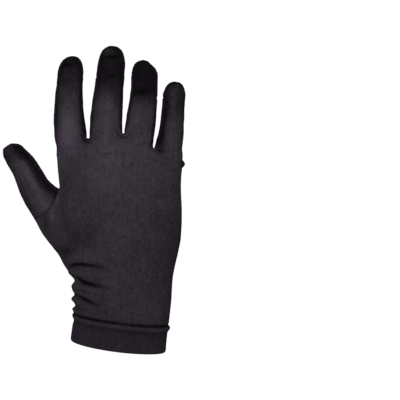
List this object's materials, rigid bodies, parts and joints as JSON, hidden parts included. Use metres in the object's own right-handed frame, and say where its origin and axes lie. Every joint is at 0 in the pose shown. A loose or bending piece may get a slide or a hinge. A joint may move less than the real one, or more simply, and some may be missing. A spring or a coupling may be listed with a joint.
{
  "type": "glove liner",
  "caption": "Thin knitted glove liner for a right hand, with sewn finger strips, a thumb gusset and a ribbed cuff.",
  "frame": {"origin": "centre of the wrist opening, at the cuff's lower edge", "axes": "+Z from the wrist opening to the fingertips, +X from the thumb to the little finger, +Y from the back of the hand to the palm"},
  "size_m": [0.1428, 0.0499, 0.2398],
  "materials": {
    "hand_knit": "matt fine jersey knit",
    "strip_knit": "matt fine jersey knit, in shade",
    "cuff_rib": "matt fine rib knit"
  },
  "bodies": {
    "root": {"back_panel": "hand_knit", "palm_panel": "hand_knit", "little_finger_front": "hand_knit", "thumb": "hand_knit", "cuff_band": "cuff_rib", "fourchette_index_middle": "strip_knit", "fourchette_middle_ring": "strip_knit", "fourchette_ring_little": "strip_knit"}
  },
  "joints": []
}
